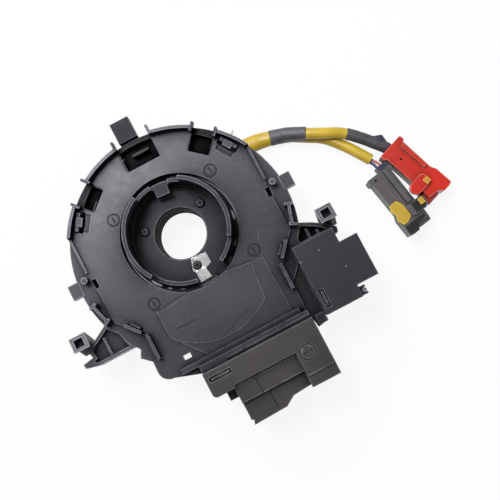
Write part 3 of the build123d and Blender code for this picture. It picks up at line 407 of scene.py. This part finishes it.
# How wide the edges of these nodes are rounded, in millimetres
soft_edges = {
    "outer_case": 0.30, "back_cover": 0.30, "main_housing": 0.30, "main_cover": 0.30, "side_housing": 0.30,
    "side_cover": 0.30, "rotor": 0.35, "collar": 0.25, "front_socket": 0.30, "white_socket": 0.25,
    "lead_clamp": 0.30, "red_plug": 0.45, "grey_plug": 0.45, "red_plug_lock": 0.25, "grey_plug_lock": 0.25,
    "red_plug_clip": 0.12, "grey_plug_clip": 0.12, "inner_lead_block": 0.25, "outer_lead_block": 0.25,
    "contact_strip": 0.08,
}


def dress_nodes():
    """Every CAD node gets its material, and those in soft_edges get small rounded edges."""
    for name, node in NODES.items():
        node.data.materials.clear()
        node.data.materials.append(node_materials[name])
        weld = node.modifiers.new("weld", "WELD")
        weld.merge_threshold = 0.000001
        if name in soft_edges:
            bevel = node.modifiers.new("edges", "BEVEL")
            bevel.width = soft_edges[name] * MM
            bevel.segments = 2
            bevel.limit_method = "ANGLE"
            bevel.angle_limit = radians(35)
            bevel.use_clamp_overlap = True
            bevel.harden_normals = False
        for polygon in node.data.polygons:
            polygon.use_smooth = True
        smooth = node.modifiers.new("shading", "EDGE_SPLIT")
        smooth.split_angle = radians(32)
        if name in soft_edges:
            flat = node.modifiers.new("flat_faces", "WEIGHTED_NORMAL")
            flat.weight = 95
            flat.keep_sharp = True


dress_nodes()


# LEADS: one curve through the trunk and the wrap to the red plug, one out of the wrap to the grey plug

def route_curve(name, points, diameter, material):
    """A round lead or wire: an open NURBS spline on the route's control points, in millimetres."""
    data = bpy.data.curves.new(name, "CURVE")
    data.dimensions = "3D"
    data.resolution_u = 10
    data.bevel_depth = diameter / 2 * MM
    data.bevel_resolution = 8
    data.use_fill_caps = True
    spline = data.splines.new("NURBS")
    spline.points.add(len(points) - 1)
    for target, point in zip(spline.points, points):
        target.co = (*(value * MM for value in point), 1)
    spline.order_u = 3
    spline.use_endpoint_u = True
    data.materials.append(material)
    return new_object(name, data)


def line_points(curve):
    """The points of a curve's middle line, read from a copy of it with no bevel."""
    bare = curve.copy()
    bare.data = curve.data.copy()
    bare.data.bevel_depth = 0
    bpy.context.scene.collection.objects.link(bare)
    bpy.context.view_layer.update()
    mesh = bpy.data.meshes.new_from_object(bare.evaluated_get(bpy.context.evaluated_depsgraph_get()))
    points = [vertex.co.copy() for vertex in mesh.vertices]
    bpy.data.objects.remove(bare)
    bpy.data.meshes.remove(mesh)
    return points


def spaced(points, step):
    """The same line with its points a fixed distance apart, and its own last point."""
    result = [points[0]]
    carry = 0.0
    for first, second in zip(points, points[1:]):
        run = (second - first).length
        place = step - carry
        while place <= run:
            result.append(first.lerp(second, place / run))
            place += step
        carry = run - (place - step)
    result.append(points[-1])
    return result


def length_of(line):
    return sum((b - a).length for a, b in zip(line, line[1:]))


def part_of(points, start, end):
    """The stretch of a line between its nearest points to two places."""
    first = min(range(len(points)), key=lambda i: (points[i] - start).length)
    last = min(range(len(points)), key=lambda i: (points[i] - end).length)
    return points[first:last + 1]


def smooth_piece(name, mesh, material):
    """An object of a finished mesh, with smooth shading."""
    mesh.materials.append(material)
    for polygon in mesh.polygons:
        polygon.use_smooth = True
    return new_object(name, mesh)


def skin(name, rings, material):
    """A skin over rings of points, with flat ends."""
    mesh = bpy.data.meshes.new(name)
    count = len(rings[0])
    faces = []
    for row in range(len(rings) - 1):
        for column in range(count):
            following = (column + 1) % count
            faces.append((row * count + column, row * count + following,
                          (row + 1) * count + following, (row + 1) * count + column))
    faces.append(tuple(reversed(range(count))))
    faces.append(tuple((len(rings) - 1) * count + column for column in range(count)))
    mesh.from_pydata([tuple(point) for ring in rings for point in ring], [], faces)
    build = bmesh.new()
    build.from_mesh(mesh)
    bmesh.ops.recalc_face_normals(build, faces=build.faces)
    build.to_mesh(mesh)
    build.free()
    piece = smooth_piece(name, mesh, material)
    shading = piece.modifiers.new("shading", "EDGE_SPLIT")
    shading.split_angle = radians(40)
    return piece


# The length of a tube's rounded end, as a number of times its depth
LIP_LENGTH = 2.5


def tube(name, line, section, material, turns_per_metre=0.0, ridge=0.0, sides=40, lip=0.0):
    """A tube along a line. Its section gives a point's distances across and up, from its share of the
    length and its angle; ridge is the step of a wound tape, and lip rounds the tube's two ends."""
    rings = []
    travelled = 0.0
    total = length_of(line)
    for number, point in enumerate(line):
        if number:
            travelled += (point - line[number - 1]).length
        before = line[max(number - 1, 0)]
        after = line[min(number + 1, len(line) - 1)]
        heading = (after - before).normalized()
        level = Vector((-heading.y, heading.x, 0)).normalized()
        rise = heading.cross(level)
        near_end = min(travelled, total - travelled)
        pull = 0.0 if lip <= 0 else lip * (1 - min(1.0, near_end / (LIP_LENGTH * lip))) ** 2
        ring = []
        for side in range(sides):
            phase = (travelled * turns_per_metre + side / sides) % 1.0
            step = ridge * (1 - phase) - pull
            across, up = section(travelled / total, 2 * pi * side / sides)
            size = max(1e-6, (across ** 2 + up ** 2) ** 0.5)
            scale = (size + step) / size
            ring.append(point + level * across * scale + rise * up * scale)
        rings.append(ring)
    return skin(name, rings, material)


# Routes, places and sizes in millimetres
trunk_route = [(34.0, 23.5, 3.5), (42.5, 25.3, 3.5), (51.0, 25.7, 3.5), (58.7, 24.4, 3.5)]
red_route = trunk_route + [
    (68.0, 21.2, 6.4), (78.5, 16.0, 9.05), (86.1, 12.0, 9.05), (92.6, 9.2, 8.1), (100.8, 1.9, 7.2),
    (107.9, -6.6, 6.4),
]
grey_route = [
    (69.5, 20.2, 3.4), (78.0, 15.1, 3.25), (82.1, 13.0, 3.25), (86.4, 9.3, 3.5), (90.5, 4.2, 4.2),
    (94.9, -2.0, 5.0), (99.7, -9.6, 5.0),
]
pink_route = [(98.9, -8.2, 5.3), (100.4, -10.6, 5.2), (102.4, -13.1, 5.0), (102.8, -15.7, 5.0)]
blue_route = [(98.0, -8.8, 4.7), (99.0, -11.2, 4.9), (100.1, -12.8, 5.0), (100.6, -15.4, 5.0)]
trunk_end = (61.6, 23.4, 4.2)
wrap_end = (77.4, 16.7, 6.12)
wrap_bow = [(0.25, 0.75, -0.15), (0.25, 0.6, -0.05)]
upper_tape_start = (94.8, 7.3, 7.9)
boss_reach = 2.6
lead_diameter = 5.6
wire_diameter = 1.4
tape_radius = 2.92
tape_edge = 0.10
trunk_radius = 3.5
trunk_half_height = trunk_radius - 0.05
wrap_start_half_width = trunk_radius + 0.35
wrap_end_half_width = 3.2
wrap_growth = 0.4
fork_half_spread = 2.75
lead_step = 0.4
tape_step = 0.35

# The trunk's half width as a share of its half height, at its ends, and what it gains halfway
TRUNK_END_WIDTH = 1.05
TRUNK_BULGE = 0.17

TAPE_TURNS_PER_METRE = 120.0

# How many of the trunk's last points the wrap covers, and how far back a line's last heading is read
wrap_overlap_points = 3
heading_points = 5

red_lead = route_curve("red_lead", red_route, lead_diameter, yellow_sleeve)
grey_lead = route_curve("grey_lead", grey_route, lead_diameter, yellow_sleeve)
red_line = spaced(line_points(red_lead), lead_step * MM)
grey_line = spaced(line_points(grey_lead), lead_step * MM)


def trunk_section(share, angle):
    """Loose sleeve: wider to the sides halfway along than at its ends."""
    half_width = trunk_half_height * (TRUNK_END_WIDTH + TRUNK_BULGE * sin(pi * share)) * MM
    return half_width * cos(angle), trunk_half_height * MM * sin(angle)


trunk_line = part_of(red_line, millimetres(*trunk_route[0]), millimetres(*trunk_end))
trunk = tube("trunk", trunk_line, trunk_section, yellow_sleeve)


def wrap_section(share, angle):
    """From the trunk's round section to an upright oblong one round both leads."""
    half_width = (wrap_start_half_width + (wrap_end_half_width - wrap_start_half_width) * share) * MM
    rounding = min(half_width, (trunk_half_height + wrap_growth * share) * MM)
    spread = fork_half_spread * share * MM
    return half_width * cos(angle), rounding * sin(angle) + (spread if sin(angle) >= 0 else -spread)


# The tape round the fork starts over the trunk's last points and bows out on its way
wrap_start = Vector(trunk_line[-1 - wrap_overlap_points])
wrap_points = [wrap_start.lerp(millimetres(*wrap_end), i / 3) for i in range(4)]
wrap_points[1] += millimetres(*wrap_bow[0])
wrap_points[2] += millimetres(*wrap_bow[1])
wrap_guide = route_curve("wrap_guide", [tuple(p / MM) for p in wrap_points], lead_diameter, grey_tape)
wrap_line = spaced(line_points(wrap_guide), tape_step * MM)
bpy.data.objects.remove(wrap_guide)
tape_wrap = tube("tape_wrap", wrap_line, wrap_section, grey_tape, TAPE_TURNS_PER_METRE, tape_edge * MM,
                 sides=56, lip=0.15 * MM)


def tape_section(share, angle):
    """Round, and the same all along."""
    return tape_radius * MM * cos(angle), tape_radius * MM * sin(angle)


# The tape from the yellow sleeve's end into the red plug
upper_line = part_of(red_line, millimetres(*upper_tape_start), millimetres(*red_route[-1]))
plug_heading = (upper_line[-1] - upper_line[-1 - heading_points]).normalized()
upper_line.append(upper_line[-1] + plug_heading * boss_reach * MM)
upper_tape = tube("upper_tape", spaced(upper_line, tape_step * MM), tape_section, dark_tape,
                  TAPE_TURNS_PER_METRE, tape_edge * MM, lip=0.1 * MM)

# That tape's loose end: where each of its two sides starts on the lead, and where it ends
flag_sides = [((104.6, 0.2, 9.1), (109.9, -1.4, 8.2)), ((106.4, -4.2, 9.2), (110.6, -6.0, 7.4))]
flag_curl = 0.5
flag_thickness = 0.25
flag_steps_along = 8
flag_steps_across = 6


def flag_rows():
    """Rows across the tape's loose end, from where it leaves the lead to its cut edge."""
    near_side, far_side = [[millimetres(*place) for place in side] for side in flag_sides]
    rows = []
    for step in range(flag_steps_along + 1):
        share = step / flag_steps_along
        near = near_side[0].lerp(near_side[1], share)
        far = far_side[0].lerp(far_side[1], share)
        rise = Vector((0, 0, flag_curl * sin(pi * share) * MM))
        rows.append([near.lerp(far, i / flag_steps_across) + rise for i in range(flag_steps_across + 1)])
    return rows


def sheet_piece(name, rows, thickness, material):
    """A thin bent sheet from rows of points, with a real thickness."""
    mesh = bpy.data.meshes.new(name)
    width = len(rows[0])
    faces = [(r * width + c, r * width + c + 1, (r + 1) * width + c + 1, (r + 1) * width + c)
             for r in range(len(rows) - 1) for c in range(width - 1)]
    mesh.from_pydata([tuple(point) for row in rows for point in row], [], faces)
    piece = smooth_piece(name, mesh, material)
    solid = piece.modifiers.new("thickness", "SOLIDIFY")
    solid.thickness = thickness
    solid.offset = 0
    return piece


tape_flag = sheet_piece("tape_flag", flag_rows(), flag_thickness * MM, flag_tape)

# Two insulated wires from the grey lead's end into the grey plug
wires = [route_curve("wire_pink", pink_route, wire_diameter, pink_wire),
         route_curve("wire_blue", blue_route, wire_diameter, blue_wire)]

rotor_pieces = [red_lead, grey_lead, trunk, tape_wrap, upper_tape, tape_flag, *wires]
for piece in rotor_pieces:
    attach(piece, "rotor")
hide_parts("trunk_sleeve", "trunk_wrap", "red_lead_sleeve", "red_lead_tape")
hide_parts("grey_lead_sleeve", "grey_wire_1", "grey_wire_2")


# DETAILS ON THE MOULDINGS, in millimetres

# Heights of the faces that carry marks
floor_top = 30.5
panel_top = floor_top + 0.9
block_top = 38.0
upper_step_top = block_top - 2.4
lower_step_top = block_top - 5.0
ring_groove_low = block_top - 0.38
plug_top = 12.0
entry_top = plug_top - 1.0
ear_top = 13.0

# How deep a mark's foot stands in its face, and how high each kind of mark stands above it
mark_foot = 0.05
scratch_rise = 0.03
seam_rise = 0.04
ring_rise = 0.05
dot_rise = 0.06
ejector_rise = 0.20
entry_rise = 0.10
lever_rise = 0.08
tail_rise = 0.07
ridge_rise = 0.10
pinhole_rise = 0.05

# A ring's number of sides, and its bar's length as a share of its diameter
RING_SIDES = 40
RING_BAR_SHARE = 0.55


def prism(build, outline, low, high):
    """An upright prism on a closed outline."""
    bottom = [build.verts.new((x * MM, y * MM, low * MM)) for x, y in outline]
    top = [build.verts.new((x * MM, y * MM, high * MM)) for x, y in outline]
    build.faces.new(reversed(bottom))
    build.faces.new(top)
    for i in range(len(outline)):
        j = (i + 1) % len(outline)
        build.faces.new((bottom[i], bottom[j], top[j], top[i]))


def disc(x, y, radius, sides=20):
    """A round outline."""
    turns = [2 * pi * i / sides for i in range(sides)]
    return [(x + radius * cos(turn), y + radius * sin(turn)) for turn in turns]


def line_outline(start, end, width):
    """The four corners of a thin straight line."""
    first, last = Vector(start), Vector(end)
    side = Vector((-(last - first).y, (last - first).x)).normalized() * width / 2
    return [tuple(first + side), tuple(first - side), tuple(last - side), tuple(last + side)]


def finish_detail(name, build, material, body):
    """The piece of a built mesh, on its body and in its material slot."""
    mesh = bpy.data.meshes.new(name)
    bmesh.ops.recalc_face_normals(build, faces=build.faces)
    build.to_mesh(mesh)
    build.free()
    mesh.materials.append(material)
    piece = new_object(name, mesh)
    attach(piece, body)


def outline_piece(name, outlines, low, high, material, body, slot):
    """Upright prisms on closed outlines, joined in one piece."""
    build = bmesh.new()
    for outline in outlines:
        prism(build, outline, low, high)
    finish_detail(name, build, material, body)


def mark(name, outlines, face, rise, material, body, slot):
    """Thin marks that stand a little above a level face."""
    outline_piece(name, outlines, face - mark_foot, face + rise, material, body, slot)


def ring_piece(name, places, radius, width, low, high, bar_angle, material, body):
    """Moulding marks: raised thin rings, each with a short bar in its middle."""
    build = bmesh.new()
    for x, y in places:
        loops = []
        for size, height in ((radius - width, low), (radius - width, high), (radius, high), (radius, low)):
            circle = disc(x, y, size, RING_SIDES)
            loops.append([build.verts.new((a * MM, b * MM, height * MM)) for a, b in circle])
        for first, second in zip(loops, loops[1:] + loops[:1]):
            for i in range(RING_SIDES):
                j = (i + 1) % RING_SIDES
                build.faces.new((first[i], first[j], second[j], second[i]))
        tip = Vector((cos(radians(bar_angle)), sin(radians(bar_angle)))) * (radius * RING_BAR_SHARE)
        prism(build, line_outline((x - tip.x, y - tip.y), (x + tip.x, y + tip.y), width), low, high)
    finish_detail(name, build, material, body)


# Marks on the case and the covers: each line's two ends and width, each dot's middle and radius
ejector_places = [(26.6, 19.3), (-25.0, 19.8), (27.3, -24.0), (-26.1, -24.5)]
cover_ring_place = (27.3, -77.3)
side_peg_place = (63.9, -64.4)
side_peg_radius = 1.05
side_peg_heights = (27.0, 35.4)
panel_scratches = [
    ((-22.7, -39.5), (-16.2, -40.3), 0.45), ((-17.4, -40.0), (-9.9, -40.4), 0.28),
    ((2.0, -50.2), (13.5, -47.2), 0.22), ((-3.5, -52.2), (3.0, -50.9), 0.3),
]
dish_scuffs = [
    ((36.7, 20.6), (37.9, 16.1), 0.25), ((41.0, -1.6), (40.1, -5.2), 0.22),
    ((40.4, -9.3), (40.0, -10.3), 0.4), ((-11.8, 41.6), (-7.2, 43.1), 0.2),
    ((-31.5, 28.0), (-27.9, 31.4), 0.2), ((-40.2, 8.0), (-39.6, 12.5), 0.18),
    ((31.3, -20.4), (33.4, -17.2), 0.25),
]
upper_seam = [((0.6, -84.4), (0.2, -76.6), 0.34)]
lower_seam = [((3.4, -93.6), (3.0, -84.6), 0.34)]
cover_dots = [(53.7, -38.6, 0.55), (61.2, -50.9, 0.55)]
cover_ticks = [((42.9, -39.9), (44.0, -39.5), 0.5), ((23.3, -87.2), (30.3, -87.2), 0.22)]

# Near-black rings: painted shade along the ejector marks' edges
ring_piece("ejector_marks", ejector_places, 3.0, 0.42, floor_top - mark_foot, floor_top + ejector_rise, 95,
           scratch_and_shade_black, "stator")
mark("panel_scratches", [line_outline(*line) for line in panel_scratches], panel_top, scratch_rise,
     scratch_and_shade_black, "stator", "case_plastic")
mark("dish_scuffs", [line_outline(*line) for line in dish_scuffs], floor_top, scratch_rise,
     scuff_plastic, "stator", "case_plastic")
mark("upper_seam", [line_outline(*line) for line in upper_seam], upper_step_top, seam_rise,
     seam_and_shade_black, "stator", "connector_plastic")
mark("lower_seam", [line_outline(*line) for line in lower_seam], lower_step_top, seam_rise,
     seam_and_shade_black, "stator", "connector_plastic")
# Near-black ring in the cover's ring groove: painted shade
ring_piece("cover_ring", [cover_ring_place], 3.9, 0.65, ring_groove_low, block_top + ring_rise, 0,
           scratch_and_shade_black, "stator")
mark("cover_dots", [disc(*dot) for dot in cover_dots], block_top, dot_rise,
     scuff_plastic, "stator", "case_plastic")
mark("cover_ticks", [line_outline(*line) for line in cover_ticks], block_top, dot_rise,
     pale_plastic, "stator", "case_plastic")
outline_piece("side_peg", [disc(*side_peg_place, side_peg_radius, 24)], *side_peg_heights,
              pale_plastic, "stator", "case_plastic")

# Marks on the airbag plugs: each plug's entry place and heading, then points along and across it
grey_place = (Vector((98.8, -18.0)), radians(-80))
red_place = (Vector((110.2, -9.0)), radians(-70))
entry_points = [(-2.9, 0.9), (-0.2, 0.9), (-0.2, 6.1), (-2.9, 6.1)]
lever_points = [(21.2, 2.6), (26.8, 2.6), (26.8, 7.4), (25.6, 9.2), (24.0, 9.9), (22.4, 9.2), (21.2, 7.4)]
tail_points = [(28.6, -6.3), (33.2, -6.3), (33.6, -4.9), (33.6, -1.8), (31.4, 0.8), (30.5, 5.5), (28.6, 5.5)]
grey_ridges = [((0.3, 1.2), (19.6, 0.4), 0.24), ((3.2, -1.0), (17.4, -1.6), 0.2)]
red_ridges = [((3.0, 2.6), (19.4, 2.6), 0.22), ((3.2, -4.4), (18.0, -4.4), 0.2)]


def on_plug(place, *points):
    """Plan positions from distances along and across a plug."""
    origin, heading = place
    ahead = Vector((cos(heading), sin(heading)))
    aside = Vector((-ahead.y, ahead.x))
    return [tuple(origin + ahead * along + aside * across) for along, across in points]


def plug_ridges(place, ridges):
    """The outlines of thin ridges, each given by its two ends and its width."""
    return [line_outline(*on_plug(place, start, end), width) for start, end, width in ridges]


def pinhole(place, middle, radius):
    """A round outline at a point along and across a plug."""
    return [disc(*on_plug(place, middle)[0], radius)]


mark("entry_cap", [on_plug(grey_place, *entry_points)], entry_top, entry_rise,
     navy_plastic, "rotor", "plug_plastic")
mark("lever_cap", [on_plug(grey_place, *lever_points)], ear_top, lever_rise,
     lever_plastic, "rotor", "plug_plastic")
mark("tail_cap", [on_plug(grey_place, *tail_points)], plug_top, tail_rise,
     lever_plastic, "rotor", "plug_plastic")
mark("grey_ridges", plug_ridges(grey_place, grey_ridges), plug_top, ridge_rise,
     pale_plastic, "rotor", "plug_plastic")
# Near-black discs: painted shade where the pinholes are
mark("grey_pinhole", pinhole(grey_place, (1.9, -3.4), 0.6), plug_top, pinhole_rise,
     seam_and_shade_black, "rotor", "plug_plastic")
mark("red_pinhole", pinhole(red_place, (7.9, -1.3), 0.55), plug_top, pinhole_rise,
     seam_and_shade_black, "rotor", "red_plastic")
mark("red_ridges", plug_ridges(red_place, red_ridges), plug_top, ridge_rise,
     red_plastic, "rotor", "red_plastic")


# STAGE

def seen_directly(tree):
    """1 for the camera's, mirrored and refracted rays, and 0 for the light that falls on the part."""
    rays = add(tree, "ShaderNodeLightPath")
    seen = maths(tree, "MAXIMUM", rays.outputs["Is Camera Ray"], rays.outputs["Is Glossy Ray"])
    return maths(tree, "MAXIMUM", seen, rays.outputs["Is Transmission Ray"])


def mix_shaders(tree, factor, first, second, output):
    """Two shaders mixed into an output node's surface."""
    mix = add(tree, "ShaderNodeMixShader")
    link(tree, factor, mix.inputs["Fac"])
    link(tree, first, mix.inputs[1])
    link(tree, second, mix.inputs[2])
    link(tree, mix.outputs["Shader"], tree.nodes[output].inputs["Surface"])


def floor_material():
    """Pale floor that shows white to the camera, keeping a faint shadow of the object."""
    material, tree, shader = new_material("pale_floor")
    shader.inputs["Base Color"].default_value = (0.86, 0.86, 0.87, 1)
    shader.inputs["Roughness"].default_value = 0.9
    glow = add(tree, "ShaderNodeEmission", in_Color=(1, 1, 1, 1), in_Strength=1.0)
    share = maths(tree, "MULTIPLY", seen_directly(tree), 0.90)
    mix_shaders(tree, share, shader.outputs["BSDF"], glow.outputs["Emission"], "Material Output")
    return material


def lay_floor(half_width):
    """A square floor at height 0."""
    corners = [(x * half_width, y * half_width, 0) for x, y in ((-1, -1), (1, -1), (1, 1), (-1, 1))]
    mesh = bpy.data.meshes.new("floor")
    mesh.from_pydata(corners, [], [(0, 1, 2, 3)])
    mesh.materials.append(floor_material())
    plane = new_object("floor", mesh)


def light_world():
    """A dim even light on the part, and plain white where the world itself is seen."""
    world = bpy.data.worlds.new("studio")
    bpy.context.scene.world = world
    world.use_nodes = True
    tree = world.node_tree
    dim = tree.nodes["Background"]
    dim.inputs["Color"].default_value = (0.96, 0.97, 1.0, 1)
    dim.inputs["Strength"].default_value = 0.14
    white = add(tree, "ShaderNodeBackground", in_Color=(1, 1, 1, 1), in_Strength=1.0)
    mix_shaders(tree, seen_directly(tree), dim.outputs["Background"], white.outputs["Background"],
                "World Output")


floor_half_width = 3.0
lay_floor(floor_half_width)
light_world()

# The camera, at the photograph's place: turns about X, Y and Z, then a shift and a distance in millimetres
camera_turns = (-3.76, -2.05, 27.79)
camera_shift = (-32.3, 6.4)
camera_distance = 480.0
camera_focal_pixels = 953.1
photo_width_pixels = 500

to_camera = Matrix.Identity(3)
for angle, axis in zip(camera_turns, "XYZ"):
    to_camera = to_camera @ Matrix.Rotation(radians(angle), 3, axis)
from_camera = to_camera.transposed()
camera_data = bpy.data.cameras.new("camera")
camera_data.sensor_width = 36.0
camera_data.lens = camera_focal_pixels / photo_width_pixels * camera_data.sensor_width
camera_data.clip_start = 0.01
camera_data.clip_end = 20.0
camera = new_object("camera", camera_data)
eye = from_camera @ Vector((-camera_shift[0], -camera_shift[1], camera_distance)) * MM
camera.matrix_world = Matrix.Translation(eye) @ from_camera.to_4x4()
bpy.context.scene.camera = camera


def soft_lamp(name, place, size, power, colour):
    """A square lamp that faces the part; its place is in the camera's own directions, in metres."""
    data = bpy.data.lights.new(name, "AREA")
    data.shape = "SQUARE"
    data.size = size
    data.energy = power
    data.color = colour
    lamp = new_object(name, data)
    position = from_camera @ Vector(place)
    lamp.location = position
    lamp.rotation_mode = "QUATERNION"
    lamp.rotation_quaternion = (-position).to_track_quat("-Z", "Y")


soft_lamp("sheen", (-0.295, 0.30, 0.92), size=0.30, power=7.5, colour=(0.93, 0.91, 1.0))
soft_lamp("key", (-0.55, 0.85, 0.80), size=0.8, power=9.0, colour=(1.0, 0.99, 0.97))
soft_lamp("fill", (1.05, -0.30, 0.70), size=0.9, power=2.1, colour=(0.97, 0.98, 1.0))
